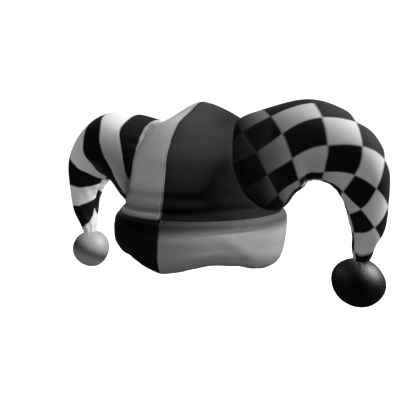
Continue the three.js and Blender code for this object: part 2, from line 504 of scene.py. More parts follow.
def velour(name, colour, roughness, sheen, pattern=None, gloss=0.5):
    """Velour of one colour, or of a pattern that returns its colour socket."""
    material, tree, shader, place = new_material(name)
    nap = node(tree, "ShaderNodeTexNoise", Vector=place, Scale=NAP_SCALE, Detail=3.0, Roughness=0.6)
    nap = nap.outputs["Fac"]
    pile = node(tree, "ShaderNodeTexNoise", Vector=place, Scale=PILE_SCALE, Detail=2.0, Roughness=0.7)
    pile = pile.outputs["Fac"]
    # This attribute is painted shade: it darkens the cloth's colour where shade falls in folds, seams and
    # recesses, and on sides turned from the lamp.
    painted_shade = node(tree, "ShaderNodeAttribute", attribute_name="painted_shade").outputs["Fac"]
    shade = maths(tree, "MULTIPLY", between(tree, nap, *NAP_SHADES), between(tree, pile, *PILE_SHADES))
    shade = maths(tree, "MULTIPLY", shade, maths(tree, "SUBTRACT", 1.0, painted_shade))
    base = pattern(tree) if pattern else colour
    tone = node(tree, "ShaderNodeVectorMath", operation="SCALE", Vector=base, Scale=shade)
    rough = between(tree, nap, roughness - NAP_ROUGHNESS, roughness + NAP_ROUGHNESS)
    bump = node(tree, "ShaderNodeBump", Strength=0.5, Distance=PILE_DEPTH, Height=pile)
    set_inputs(shader, Base_Color=tone.outputs[0], Roughness=rough, Normal=bump.outputs["Normal"])
    set_inputs(shader, Sheen_Weight=sheen, Sheen_Roughness=SHEEN_ROUGHNESS, Specular_IOR_Level=gloss)
    return material


print("grain and nap in mm:", round(1000 / PILE_SCALE, 2), round(1000 / NAP_SCALE))


# %% [markdown]
# ## Stripes and checks
# The pattern on a horn follows the cloth, so it is drawn from the horn's own UV map and not from where the
# horn lies in space. The map counts edges: U goes up by one at each edge along the horn, and V by one at
# each edge round it. A stripe is black where U lies past an odd edge, and a check is white where the whole
# parts of U and V add up to an odd number.

# %% Colours of the cloth
# The crown, cuff, ball and checks are the same white cloth as the stripes, darkened into greys as painted
# shade; the black crown is black lightened as a painted sheen.
WHITE_CLOTH = (0.86, 0.86, 0.855)
SHADED_CHECK_WHITE = (0.62, 0.62, 0.616)
SHADED_CROWN_WHITE = (0.56, 0.56, 0.556)
SHADED_CUFF_WHITE = (0.32, 0.32, 0.318)
SHADED_BALL_WHITE = (0.37, 0.37, 0.368)
BLACK_CLOTH = (0.0065, 0.0065, 0.0068)
LIT_BLACK_CROWN = (0.056, 0.056, 0.0565)
print("white cloth is", round(WHITE_CLOTH[0] / BLACK_CLOTH[0]), "times as bright as black")


# %% Patterns of the two horns
EDGE_SOFTNESS = 0.12
INNER_EDGE_SHARPNESS = 16.0


def pattern_counts(tree):
    """The U and V counts of the pattern map."""
    uv = node(tree, "ShaderNodeUVMap", uv_map="pattern")
    parts = node(tree, "ShaderNodeSeparateXYZ", Vector=uv.outputs[0])
    return parts.outputs[0], parts.outputs[1]


def clamped(tree, value, low, high):
    """A socket held between two numbers."""
    return maths(tree, "MINIMUM", maths(tree, "MAXIMUM", value, low), high)


def edge_wave(tree, count):
    """-1 and 1 by turns along a count, with a soft change at each whole number."""
    swing = maths(tree, "SINE", maths(tree, "MULTIPLY", count, math.pi))
    return clamped(tree, maths(tree, "MULTIPLY", swing, 1 / EDGE_SOFTNESS), -1.0, 1.0)


def striped(tree):
    """Black and white by turns along the horn."""
    along, _ = pattern_counts(tree)
    factor = maths(tree, "MULTIPLY_ADD", edge_wave(tree, along), 0.5, 0.5)
    return mix_colour(tree, factor, BLACK_CLOTH, WHITE_CLOTH)


def checked(tree):
    """White where only one of the two waves is up, and darkened towards the crown by painted shade."""
    along, around = pattern_counts(tree)
    product = maths(tree, "MULTIPLY", edge_wave(tree, along), edge_wave(tree, around))
    inner = maths(tree, "MAXIMUM", around, maths(tree, "SUBTRACT", 1.0, along))
    inner = clamped(tree, maths(tree, "MULTIPLY", inner, INNER_EDGE_SHARPNESS), 0.0, 1.0)
    factor = maths(tree, "MULTIPLY", maths(tree, "MULTIPLY_ADD", product, -0.5, 0.5), inner)
    # Painted shade that darkens the print's white.
    painted_print_shade = node(tree, "ShaderNodeAttribute", attribute_name="painted_print_shade").outputs["Fac"]
    white = mix_colour(tree, painted_print_shade, SHADED_CHECK_WHITE, BLACK_CLOTH)
    return mix_colour(tree, factor, BLACK_CLOTH, white)


print("an edge between two colours is soft over", EDGE_SOFTNESS, "of a count")

# %% The velours of the hat
white_crown_velour = velour("white_crown_velour", SHADED_CROWN_WHITE, 0.72, 0.06)
white_cuff_velour = velour("white_cuff_velour", SHADED_CUFF_WHITE, 0.70, 0.06)
white_ball_velour = velour("white_ball_velour", SHADED_BALL_WHITE, 0.42, 0.06, gloss=0.8)
black_velour = velour("black_velour", BLACK_CLOTH, 0.60, 0.03, gloss=0.4)
black_crown_velour = velour("black_crown_velour", LIT_BLACK_CROWN, 0.66, 0.015, gloss=0.1)
black_ball_velour = velour("black_ball_velour", BLACK_CLOTH, 0.42, 0.03, gloss=0.65)
striped_velour = velour("striped_velour", WHITE_CLOTH, 0.70, 0.04, striped, gloss=0.2)
checked_velour = velour("checked_velour", WHITE_CLOTH, 0.74, 0.02, checked, gloss=0.12)
print("materials:", [m.name for m in bpy.data.materials])

# %% [markdown]
# ## Stuffing the cuff and the horns
# A stuffed piece takes its form from the filling that presses on the cloth and from the seams that hold it
# back. That is simulated here on light copies: each copy is a closed bag with its seams and its ends pinned,
# the cloth is a little larger than the form it fills, pressure stands for the filling, and there is no
# gravity, because the hat keeps its form when it is held up. Only the movement of the cloth is kept, smoothed
# over the fine grid of the finished piece, so that the outline and the pattern stay where they are. It is held
# to a few millimetres, and the seams don't move at all.

# %% Grids of the cuff
CUFF_COLUMNS = 240
CUFF_FINE = 64
HEM_STEPS = 7


def cuff_bands(side, down_steps, columns):
    """A cuff half from the seam down: share of the drop, turn, and rows of its outside and its inside."""
    down = np.linspace(0, 1, down_steps)
    rows = cuff_outline(down)
    turn = side * np.linspace(0, math.pi, columns)[None, :]
    drop = hem_drop(turn)

    def band(inward):
        wide = CROWN_WIDE + rows[:, 1:2] - inward
        deep = CROWN_DEEP + rows[:, 2:3] - inward
        z = -SLIT - down[:, None] * drop
        return np.stack([wide * np.sin(turn), -deep * np.cos(turn), z], -1)

    below = np.broadcast_to(down[:, None], (down_steps, columns))
    return below, turn, band(0.0), band(rows[:, 3:4])


def rounded_hem(outside, inside, steps):
    """Rows that turn from the outside to the inside below the last row."""
    angle = np.linspace(0, math.pi, steps + 2)[1:-1, None, None]
    middle = (outside[-1] + inside[-1]) / 2
    half = (outside[-1] - inside[-1]) / 2
    sag = np.linalg.norm(half, axis=-1, keepdims=True) * np.array((0, 0, -0.7))
    return middle + half * np.cos(angle) + sag * np.sin(angle)


print("points on the outside of a cuff half:", CUFF_FINE * CUFF_COLUMNS)


# %% Grid of a horn
def horn_grid(side, rows, step):
    """Share, turn and place of each point of a horn, on every point round it or on every few."""
    starts, ends = (span[::step] for span in horn_spans[side])
    share = starts + (ends - starts) * np.linspace(0, 1, rows)[:, None]
    turn = np.broadcast_to(horn_turns[::step], share.shape)
    return share, turn, horn_points(share, turn, side)


print("points on a horn:", HORN_ROWS_FINE * HORN_COLUMNS)


# %% Light copies for the simulation
COPY_STEP = 3
HORN_COPY_ROWS = 74
CUFF_COPY_ROWS = 22
CUFF_COPY_COLUMNS = 81
HEM_COPY_STEPS = 3
FRAMES = 20
CLOTH_SETTINGS = {
    "quality": 6,
    "mass": 0.15,
    "tension_stiffness": 15,
    "compression_stiffness": 15,
    "shear_stiffness": 5,
    "vertex_group_mass": "pins",
    "use_pressure": True,
}


def bag(name, grid, held, ring_rows, pressure, growth, stiffness):
    """A closed bag of cloth over a grid, ready to simulate. held lists the pinned parts of the grid."""
    rows, columns = grid.shape[:2]
    points = grid.reshape(-1, 3)
    faces = grid_faces(rows, columns, ring_rows=ring_rows, ring_columns=not ring_rows).tolist()
    order = np.arange(rows * columns).reshape(rows, columns)
    for ring in (order[:, 0], order[:, -1]) if ring_rows else (order[0], order[-1]):
        faces += fan(ring, len(points)).tolist()
        points = np.vstack([points, points[ring].mean(0)])
    mesh = bpy.data.meshes.new(name)
    mesh.from_pydata(points.tolist(), [], faces)
    face_outwards(mesh)
    copy = add_object(name, mesh)
    pinned = np.zeros((rows, columns), bool)
    for part in held:
        pinned[part] = True
    pinned = np.append(pinned.ravel(), (True, True))
    pins = copy.vertex_groups.new(name="pins")
    for weight in (0.0, 1.0):
        pins.add(np.nonzero(pinned == weight)[0].tolist(), weight, "REPLACE")
    cloth = copy.modifiers.new("cloth", "CLOTH")
    for key, value in CLOTH_SETTINGS.items():
        setattr(cloth.settings, key, value)
    cloth.settings.bending_stiffness = stiffness
    cloth.settings.uniform_pressure_force = pressure
    cloth.settings.shrink_min = -growth
    cloth.settings.effector_weights.gravity = 0.0
    cloth.collision_settings.use_collision = False
    cloth.collision_settings.use_self_collision = False
    cloth.point_cache.frame_start = 1
    cloth.point_cache.frame_end = FRAMES
    return copy


def horn_bag(name, side):
    """A horn's light copy, held at its ends and its seam."""
    grid = horn_grid(side, HORN_COPY_ROWS, COPY_STEP)[2]
    held = (np.s_[:2], np.s_[-3:], np.s_[:, 0])
    copy = bag(name + "_copy", grid, held, ring_rows=False, pressure=1.5, growth=0.035, stiffness=1.0)
    return name, grid, copy, len(grid)


def cuff_bag(name, side):
    """A cuff half's light copy, held at its top seam, its two middle seams and all over its inside."""
    outside, inside = cuff_bands(side, CUFF_COPY_ROWS, CUFF_COPY_COLUMNS)[2:]
    grid = np.concatenate([outside, rounded_hem(outside, inside, HEM_COPY_STEPS), inside[::-1]])
    held = (np.s_[0], np.s_[CUFF_COPY_ROWS + HEM_COPY_STEPS:], np.s_[:, 0], np.s_[:, -1])
    copy = bag(name + "_copy", grid, held, ring_rows=True, pressure=0.6, growth=0.02, stiffness=3.0)
    return name, grid, copy, CUFF_COPY_ROWS


print("frames to simulate:", FRAMES)


# %% Run the simulation
LARGEST_MOVE = 0.0035
FINE_PASSES = 2
BROAD_PASSES = 40
BROAD_TAKEN_OUT = 0.8
CUFF_STRENGTH = 0.5
swell_grids = {}


def soften(moved, ring, passes):
    """Even out the movement between neighbours, and leave the held edges where they are."""
    for _ in range(passes):
        even = moved.copy()
        even[1:-1] = 0.25 * moved[:-2] + 0.5 * moved[1:-1] + 0.25 * moved[2:]
        moved = 0.25 * np.roll(even, 1, 1) + 0.5 * even + 0.25 * np.roll(even, -1, 1)
        if not ring:
            moved[:, [0, -1]] = even[:, [0, -1]]
    return moved


def simulate():
    """Let the pressure act on the four copies, and keep how their cloth moved."""
    copies = [horn_bag("horn_checked_cloth", 1), horn_bag("horn_striped_cloth", -1)]
    copies += [cuff_bag("cuff_black_cloth", -1), cuff_bag("cuff_white_cloth", 1)]
    scene = bpy.context.scene
    for frame_number in range(1, FRAMES + 1):
        scene.frame_set(frame_number)
    graph = bpy.context.evaluated_depsgraph_get()
    for name, grid, copy, kept in copies:
        mesh = copy.evaluated_get(graph).to_mesh()
        places = np.empty(len(mesh.vertices) * 3)
        mesh.vertices.foreach_get("co", places)
        moved = places[:grid.size].reshape(grid.shape) - grid
        length = np.linalg.norm(moved, axis=-1, keepdims=True)
        print(name, "moved by up to", round(float(length.max()) * 1000, 2), "mm")
        moved *= LARGEST_MOVE * np.tanh(length / LARGEST_MOVE) / np.maximum(length, 1e-9)
        moved = moved[:kept]
        ring = name.startswith("horn")
        folds = soften(moved, ring, FINE_PASSES) - BROAD_TAKEN_OUT * soften(moved, ring, BROAD_PASSES)
        swell_grids[name] = folds * (1.0 if ring else CUFF_STRENGTH)
        copy.evaluated_get(graph).to_mesh_clear()
        bpy.data.objects.remove(copy)
    scene.frame_set(1)


def swelling(name, shape, ring=False):
    """The simulated movement of a piece on a grid of another fineness."""
    if name not in swell_grids:
        return np.zeros((*shape, 3))
    moved = swell_grids[name]
    if ring:
        moved = np.concatenate([moved, moved[:, :1]], axis=1)
        across = np.arange(shape[1]) / shape[1] * (moved.shape[1] - 1)
    else:
        across = np.linspace(0, moved.shape[1] - 1, shape[1])
    down = np.linspace(0, moved.shape[0] - 1, shape[0])
    return smooth_sample(smooth_sample(moved, down, 0), across, 1)


def smooth_sample(values, places, axis):
    """Values read between the rows of a grid, on a curve that has no corners at the rows."""
    values = np.moveaxis(values, axis, 0)
    last = len(values) - 1
    i = np.clip(np.floor(places).astype(int), 0, last - 1)
    u = (places - i).reshape(-1, *[1] * (values.ndim - 1))
    before, start, end, after = (values[np.clip(i + k, 0, last)] for k in (-1, 0, 1, 2))
    result = 0.5 * (
        2 * start + (end - before) * u
        + (2 * before - 5 * start + 4 * end - after) * u**2
        + (3 * start - before - 3 * end + after) * u**3
    )
    return np.moveaxis(result, 0, axis)


simulate()

# %% [markdown]
# ## The crown
# Each half of the crown is one piece of cloth, so it is a thin shell: an outside, an inside at the cloth's
# thickness, and edges that join them. The seams draw the cloth in and pucker it a little, which is what
# makes sewn cloth look sewn, so these small forms are modelled and not painted.

# %% Puckers and gathers
SEAM_DEPTH = 0.0010


def pucker(points, along, pitch, seed):
    """Small waves along a seam that draws the cloth in."""
    return np.sin(along / pitch * math.pi + 2 * soft_noise(points, 0.03, seed))


def gathers(points, along, pitch, seed):
    """Small folds across a seam, strong in some places and gone in others."""
    folds = np.sin(along / pitch * 2 * math.pi + 3 * soft_noise(points, 0.05, seed))
    return folds * np.clip(0.5 + soft_noise(points, 0.06, seed + 2), 0, 1.5)


print("a sewn seam lies", 1000 * SEAM_DEPTH, "mm deep")

# %% The seam at a horn's root
def root_seam(near, folds):
    """Folds that run out from a horn's root, and the line of the seam itself."""
    return folds * bell(near, 0.013) * fade(near, 0.0, 0.004) - 0.0003 * bell(near, 0.0022)


print("the root's seam itself:", root_seam(np.zeros(1), 0.0)[0], "m")

# %% Small forms on the crown
CREASE_HEIGHTS = (0.0075, 0.0215)
HORN_ROOT_HEIGHT = 0.045


def crown_relief(points, turn):
    """How far the crown's cloth stands out (or in) from its outline. The black half lies smoother."""
    on_black = 0.5 + 0.5 * np.tanh(points[..., 0] / 0.010)
    crease_depth = 0.0007 - 0.0006 * on_black
    x, z = np.abs(points[..., 0]), points[..., 2]
    relief = 0.0007 * soft_noise(points, 0.055, 3) * fade(z, 0.0, 0.03)
    relief += on_black * (0.0006 * bell(z - 0.0212, 0.005) - 0.0005 * bell(z - 0.0137, 0.005))
    relief -= 0.0002 * bell(x, 0.0016)
    relief += 0.00012 * pucker(points, z, 0.0062, 5) * bell(x, 0.009) * fade(z, 0.01, 0.03)
    relief -= SEAM_DEPTH * bell(z, 0.0018)
    relief += 0.00013 * gathers(points, turn * CROWN_WIDE, 0.0075, 7) * bell(z, 0.005)
    for number, height in enumerate(CREASE_HEIGHTS):
        depth = 0.5 + 0.5 * soft_noise(points, 0.09, 11 + number)
        wander = 0.0018 * soft_noise(points, 0.07, 21 + number)
        relief -= crease_depth * np.clip(depth, 0, 1.2) * bell(z - height - wander, 0.0028)
    angle = np.arctan2(z - HORN_ROOT_HEIGHT, -points[..., 1])
    for horn_side in (-1, 1):
        near = distance_to_root(points, horn_side)
        folds = np.sin(9 * angle + 2 * soft_noise(points, 0.05, 31 + horn_side))
        relief += root_seam(near, 0.0003 * folds)
    return relief


print("creases on the crown at", [round(1000 * height, 1) for height in CREASE_HEIGHTS], "mm")

# %% Painted shade on the crown
WHITE_CROWN_LOW_SHADE = 0.43
BLACK_CROWN_LOW_SHADE = 0.76


def crown_painted_shade(points, side):
    """Painted shade: darker low on the crown, in its creases and by the checked horn's root; on the white half
    also by the seams, by the striped horn's root and at the top.
    """
    x, z = np.abs(points[..., 0]), points[..., 2]
    if side < 0:
        painted_shade = WHITE_CROWN_LOW_SHADE * (1 - fade(z, 0.008, 0.04))
        painted_shade += 0.4 * bell(x, 0.002) + 0.1 * fade(z, 0.095, 0.11)
        painted_shade += 0.35 * bell(distance_to_root(points, -1), 0.014) + 0.5 * bell(z, 0.0012)
    else:
        painted_shade = BLACK_CROWN_LOW_SHADE * (1 - fade(z, 0.020, 0.068))
    for height, depth in zip(CREASE_HEIGHTS, (0.25, 0.18)):
        painted_shade += depth * bell(z - height, 0.004)
    return painted_shade + 0.85 * bell(distance_to_root(points, 1), 0.028)


print("brightness kept low on the white and the black crown:", 1 - WHITE_CROWN_LOW_SHADE, 1 - BLACK_CROWN_LOW_SHADE)

# %% Build one half of the crown
CROWN_COLUMNS = 190
CROWN_FINE = 150
outer_cloth = {}


def edge_strip(rows, columns):
    """The faces that join the edges of an outer grid to those of an inner grid stored after it."""
    bottom = [(0, j) for j in range(columns)]
    right = [(i, columns - 1) for i in range(1, rows)]
    left = [(i, 0) for i in range(rows - 1, 0, -1)]
    loop = np.array([i * columns + j for i, j in bottom + right + left])
    following = np.roll(loop, -1)
    offset = rows * columns
    return np.stack([loop, loop + offset, following + offset, following], 1)


def crown_half(name, side, material):
    """A thin shell of cloth over half the crown. side is 1 for the black half at +X."""
    climb = np.linspace(0, 1, CROWN_FINE)
    z, wide, deep, lean = crown_outline(climb).T
    z[0] = SLIT
    start = np.arcsin(np.clip((side * SLIT - lean) / wide, -1, 1))[:, None]
    across = np.linspace(0, 1, CROWN_COLUMNS)
    across = across - 0.05 * np.sin(2 * math.pi * across)
    turn = start + side * (math.pi - 2 * side * start) * across
    outside = np.stack([
        lean[:, None] + wide[:, None] * np.sin(turn),
        -deep[:, None] * np.cos(turn),
        np.broadcast_to(z[:, None], turn.shape),
    ], -1)
    apex = np.array((side * SLIT, 0.0, CROWN_TALL))
    outside[-1] = apex
    normals = grid_normals(outside, ring=False) * -side
    normals[-1] = (0, 0, 1)
    relief = crown_relief(outside, turn)
    relief[-1] = relief[-2].mean()
    inside = outside - normals * CLOTH
    inside[-1] = apex - np.array((0, 0, CLOTH))
    inside[0, :, 2] = SLIT
    outside = outside + normals * relief[..., None]
    outside[0, :, 2] = SLIT
    for cloth in (outside, inside):
        cloth[..., 0] = side * np.maximum(side * cloth[..., 0], SLIT)
        cloth[..., 2] = np.maximum(cloth[..., 2], SLIT)
    outer_cloth[name] = outside
    rows, columns = turn.shape
    outer = grid_faces(rows, columns)
    inner = outer[:, ::-1] + rows * columns
    points = np.stack([outside, inside]).reshape(-1, 3)
    # Painted shade on the outside of the crown only.
    painted_shade = np.concatenate([crown_painted_shade(outside, side).ravel(), np.zeros(rows * columns)])
    return make_piece(name, points, [outer, inner, edge_strip(rows, columns)], material, painted_shade=painted_shade)


crown_white = crown_half("crown_white_cloth", -1, white_crown_velour)
crown_black = crown_half("crown_black_cloth", 1, black_crown_velour)

# %% [markdown]
# ## The cuff
# The cuff is a folded band with padding in it. Its section is a closed loop: down the outside, round the
# hem and back up the inside. Soft folds run along it where the padding shifts, and its hem is wavy.

# %% Broad folds of the cuff
CUFF_FOLDS = [
    # turn in degrees and drop at one end, the same at the other end, height and width in millimetres
    (20, 0.29, 66, 0.205, -0.5, 1.6),
    (30, 0.30, 54, 0.76, 1.0, 7.0),
    (0, 0.36, 22, 0.42, 0.7, 4.5),
    (2, 0.76, 32, 0.66, 0.7, 4.5),
    (70, 0.45, 96, 0.52, 0.5, 6.0),
    (104, 0.30, 128, 0.66, 0.9, 6.0),
    (134, 0.42, 172, 0.36, 0.6, 5.0),
]


def cuff_folds(turn, down):
    """Soft ridges and one crease that run along short lines, each at the same place on both halves."""
    arc = turn * CROWN_WIDE
    drop = down * CUFF_DROP
    total = np.zeros(np.broadcast(arc, drop).shape)
    for turn_a, down_a, turn_b, down_b, height, width in CUFF_FOLDS:
        start = np.array((math.radians(turn_a) * CROWN_WIDE, down_a * CUFF_DROP))
        line = np.array((math.radians(turn_b) * CROWN_WIDE, down_b * CUFF_DROP)) - start
        share = np.clip(((arc - start[0]) * line[0] + (drop - start[1]) * line[1]) / (line @ line), 0, 1)
        away = np.hypot(arc - start[0] - share * line[0], drop - start[1] - share * line[1])
        ends = 0.35 + 0.65 * np.sin(math.pi * share) ** 2
        total += height / 1000 * bell(away, width / 1000) * ends
    return total


print("folds on each half of the cuff:", len(CUFF_FOLDS))

# %% Small forms on the cuff
def cuff_relief(points, turn, down):
    """How far the outside of the cuff stands out (or in) from its outline."""
    x = np.abs(points[..., 0])
    relief = 0.0008 * soft_noise(points * (1, 1, 2.2), 0.075, 41)
    relief -= 0.0006 * bell(x, 0.0018)
    relief += 0.00014 * pucker(points, points[..., 2], 0.0058, 43) * bell(x, 0.008)
    relief += 0.00014 * gathers(points, turn * CROWN_WIDE, 0.0068, 45) * bell(down, 0.09)
    relief -= SEAM_DEPTH * bell(down, 0.035)
    return (relief + cuff_folds(turn, down)) * fade(down, 1.02, 0.9)


# %% Painted shade on the cuff
def cuff_painted_shade(down):
    """Painted shade: darker in the hollow below the seam and where the hem turns under."""
    return 0.86 * (1 - fade(down, 0.10, 0.34)) + 0.35 * fade(down, 0.68, 1.0)


print("crushed at the cuff's seam, middle and hem:", cuff_painted_shade(np.array((0.0, 0.5, 1.0))))

# %% Build one half of the cuff
def cuff_half(name, side, material):
    """A padded wall round half the hat. side is 1 for the white half at +X."""
    below, turn, outside, inside = cuff_bands(side, CUFF_FINE, CUFF_COLUMNS)
    outside = outside + swelling(name, outside.shape[:2])
    normals = grid_normals(outside, ring=False) * side
    relief = cuff_relief(outside, np.abs(turn), below)
    outside = outside + normals * relief[..., None]
    outside[0, :, 2] = -SLIT
    section = np.concatenate([outside, rounded_hem(outside, inside, HEM_STEPS), inside[::-1]])
    section[..., 0] = side * np.maximum(side * section[..., 0], SLIT)
    section[..., 2] = np.minimum(section[..., 2], -SLIT)
    outer_cloth[name] = outside
    count, columns = section.shape[:2]
    points = section.reshape(-1, 3)
    faces = [grid_faces(count, columns, ring_rows=True)]
    for column in (0, columns - 1):
        faces.append(fan(np.arange(count) * columns + column, len(points)))
        points = np.vstack([points, section[:, column].mean(0)])
    # Painted shade on the cuff's outside only.
    painted_shade = np.zeros(len(points))
    painted_shade[:CUFF_FINE * columns] = cuff_painted_shade(below).ravel()
    return make_piece(name, points, faces, material, painted_shade=painted_shade)


cuff_black = cuff_half("cuff_black_cloth", -1, black_velour)
cuff_white = cuff_half("cuff_white_cloth", 1, white_cuff_velour)

# %% [markdown]
# ## The pattern of the horns
# The striped horn is a tube of sewn rings of white and black velour, and its stripes lean, so that they are
# wide over the arch and narrow below it. Behind the seam the stripes are half a stripe off, as on cloth that
# was cut with no care for its pattern. The checked horn is printed cloth, laid with a diamond turned along
# the arch. Both patterns are short tables of where each edge crosses the horn.

# %% Edges of the stripes
STRIPE_EDGES = [
    # turn in degrees, then the share of the middle line at each of eight edges
    (172, -0.06, -0.04, 0.10, 0.36, 0.48, 0.59, 0.71, 0.845),
    (220, 0.06, 0.11, 0.20, 0.40, 0.51, 0.63, 0.757, 0.905),
    (270, 0.12, 0.22, 0.30, 0.42, 0.54, 0.67, 0.79, 0.93),
    (315, 0.17, 0.27, 0.34, 0.42, 0.555, 0.70, 0.81, 0.95),
    (360, 0.203, 0.285, 0.362, 0.41, 0.565, 0.72, 0.825, 0.96),
    (395, 0.186, 0.272, 0.366, 0.415, 0.57, 0.72, 0.826, 0.96),
    (423, 0.132, 0.246, 0.342, 0.43, 0.578, 0.718, 0.827, 0.96),
    (450, 0.075, 0.13, 0.315, 0.458, 0.587, 0.716, 0.825, 0.958),
    (465, 0.03, 0.05, 0.26, 0.47, 0.595, 0.715, 0.824, 0.95),
    (480, -0.03, -0.02, 0.11, 0.48, 0.59, 0.708, 0.815, 0.943),
    (504, -0.06, -0.04, 0.06, 0.51, 0.588, 0.692, 0.80, 0.93),
    (532, -0.06, -0.04, 0.02, 0.54, 0.60, 0.66, 0.77, 0.886),
]
stripe_edges = smooth_rows(STRIPE_EDGES, spaced_by=(0,))


def count_edges(value, edges, first):
    """Read a value against rising edges: first at the first edge, one more at each next one."""
    counts = np.empty_like(value)
    for column in range(value.shape[1]):
        line = edges[column]
        steps = np.maximum(np.diff(line), 0.004)
        line = np.concatenate([[line[0]], line[0] + np.cumsum(steps)])
        marks = first + np.arange(len(line))
        counts[:, column] = np.interp(value[:, column], line, marks)
        over = value[:, column] - line[-1]
        under = line[0] - value[:, column]
        counts[:, column] += np.clip(over / 0.25, 0, 0.5) - np.clip(under / 0.1, 0, 0.5)
    return counts


def stripe_map(share, turn):
    """U for the striped horn. turn is in degrees, from 172 to 532, one value for each column."""
    edges = stripe_edges((turn - 172) / 360)[:, 1:]
    along = count_edges(share, edges, 1)
    return np.stack([along, np.zeros_like(along)], -1)


# %% Edges of the checks
CHECK_RINGS = [
    # turn in degrees, then the share at each of eight edges across the horn
    (0, 0.06, 0.155, 0.25, 0.36, 0.45, 0.585, 0.70, 0.90),
    (35, 0.08, 0.170, 0.268, 0.383, 0.488, 0.613, 0.778, 0.935),
    (90, 0.084, 0.192, 0.306, 0.45, 0.597, 0.735, 0.852, 0.963),
    (150, 0.083, 0.163, 0.297, 0.522, 0.677, 0.782, 0.877, 0.957),
    (180, 0.08, 0.15, 0.29, 0.552, 0.70, 0.785, 0.88, 0.955),
]
CHECK_LINES = [
    # share, then the turn in degrees at each of six edges along the horn
    (0.0, 63, 84, 109, 140, 168, 196),
    (0.08, 60, 81.5, 108.5, 139.5, 165, 190),
    (0.18, 58.5, 85, 110, 135, 158, 182),
    (0.30, 48, 77.5, 108.5, 138.5, 156, 176),
    (0.40, 28, 60, 99.5, 137, 160, 180),
    (0.50, 0, 33, 80, 134.5, 158, 180),
    (0.60, -35, -10, 40, 109, 155, 182),
    (0.70, -70, -42, 0, 63.5, 142, 185),
    (0.78, -90, -60, -28, 22, 105, 160),
    (0.84, -105, -75, -45, -5, 73, 155),
    (0.92, -125, -95, -65, -28, 18, 153),
    (1.0, -140, -110, -80, -45, 0, 130),
]
check_rings = smooth_rows(CHECK_RINGS, spaced_by=(0,), flat_ends=True)
check_lines = smooth_rows(CHECK_LINES, spaced_by=(0,))


def check_map(share, turn):
    """U and V for the checked horn. The back mirrors the front."""
    front = np.degrees(np.arccos(np.cos(np.radians(turn))))
    rings = check_rings(front / 180)[:, 1:]
    along = count_edges(share, rings, -1)
    around = np.empty_like(share)
    lines = check_lines(share)[..., 1:]
    for i in range(share.shape[0]):
        for j in range(share.shape[1]):
            line = lines[i, j]
            around[i, j] = np.interp(front[j], line, np.arange(6))
            around[i, j] += max(0.0, (front[j] - line[-1]) / 30) - max(0.0, (line[0] - front[j]) / 60)
    return np.stack([along, around], -1)


def check_painted_shade(share, turn):
    """Painted shade on the print: darker towards the crown, most of all on top."""
    low = fade(-np.cos(np.radians(turn)), 0.0, 0.8)
    return 0.97 * (1 - fade(share + 0.07 * low, 0.16, 0.41))


# %% [markdown]
# ## The horns
# Each horn is stuffed, so it has soft lumps, a seam along its underside, gathers where it is sewn to the
# crown, creases under the arch where the cloth is pushed together, and pleats where it is tied to its ball.

# %% Small forms on a horn
def from_underside(turn):
    """The angle from the underside of a horn, 0 there and half a turn on top."""
    return math.pi - np.abs((turn + math.pi) % (2 * math.pi) - math.pi)


def horn_relief(points, share, turn, side):
    """How far a horn's cloth stands out (or in) from its outline."""
    radius = horn_curve(share)[..., 2]
    off_seam = np.abs((turn - SEAM_TURN + math.pi) % (2 * math.pi) - math.pi) * radius
    near = distance_to_root(points, side)
    size = np.clip(radius / HORN_TALL, 0.25, 1)
    relief = 0.0012 * size * soft_noise(points, 0.06, 61 + side)
    relief -= 0.0011 * bell(off_seam, 0.0022)
    relief += 0.00018 * pucker(points, share * HORN_LENGTH, 0.0062, 63) * bell(off_seam, 0.008)
    crease = np.sin(share * HORN_LENGTH / 0.012 * 2 * math.pi + 2.2 * soft_noise(points, 0.05, 65 + side))
    under_arch = fade(share, 0.18, 0.32) * (1 - fade(share, 0.62, 0.78))
    relief += 0.0002 * crease * bell(from_underside(turn), 0.75) * under_arch
    gather = np.sin(26 * turn + 2.5 * soft_noise(points, 0.05, 67 + side))
    relief += root_seam(near, (0.0006 if side < 0 else 0.0003) * gather)
    pleat = np.sin(7 * turn + 1.2 * soft_noise(points, 0.04, 69 + side))
    relief += 0.0005 * pleat * fade(share, 0.86, 0.98)
    return relief * fade(near, -0.001, 0.0015)


print("half height of a horn at its root and its end:", horn_curve(np.array((0.0, 1.0)))[:, 2].round(4))

# %% Painted shade on a horn
def horn_painted_shade(points, share, turn, side):
    """Painted shade: darker under the arch, on the back and near the crown; on the striped horn also at the
    front of its root and near its tip.
    """
    near = distance_to_root(points, side)
    low = fade(math.pi - from_underside(turn), 0.9, 2.3) * (1 - fade(share, 0.42, 0.7))
    behind = 0.25 * fade(-np.sin(turn) + 0.5 * np.cos(turn), 0.2, 1.0)
    if side > 0:
        return behind + 0.25 * low + 0.2 * bell(near, 0.022) + 0.12 * (1 - fade(share, 0.3, 0.6))
    front = 0.45 * bell(turn % (2 * math.pi) - 1.68, 0.42) * (1 - fade(share, 0.25, 0.45))
    by_root = 0.15 * bell(near, 0.016) + 0.3 * bell(near, 0.0035)
    by_root += 0.8 * bell(near, 0.018) * bell(turn % (2 * math.pi) - 0.5, 0.45)
    painted_shade = behind + front + 0.2 * low + by_root + 0.15 * fade(share, 0.82, 0.95)
    return np.minimum(painted_shade, 0.8)


# %% Build a horn
CAP_RINGS = 12
# The closed ends lie against the crown and the ball, where shade falls, so they carry painted shade as dark as
# the seams there.
END_PRINT_SHADE = 0.97
END_PAINTED_SHADE = 0.92


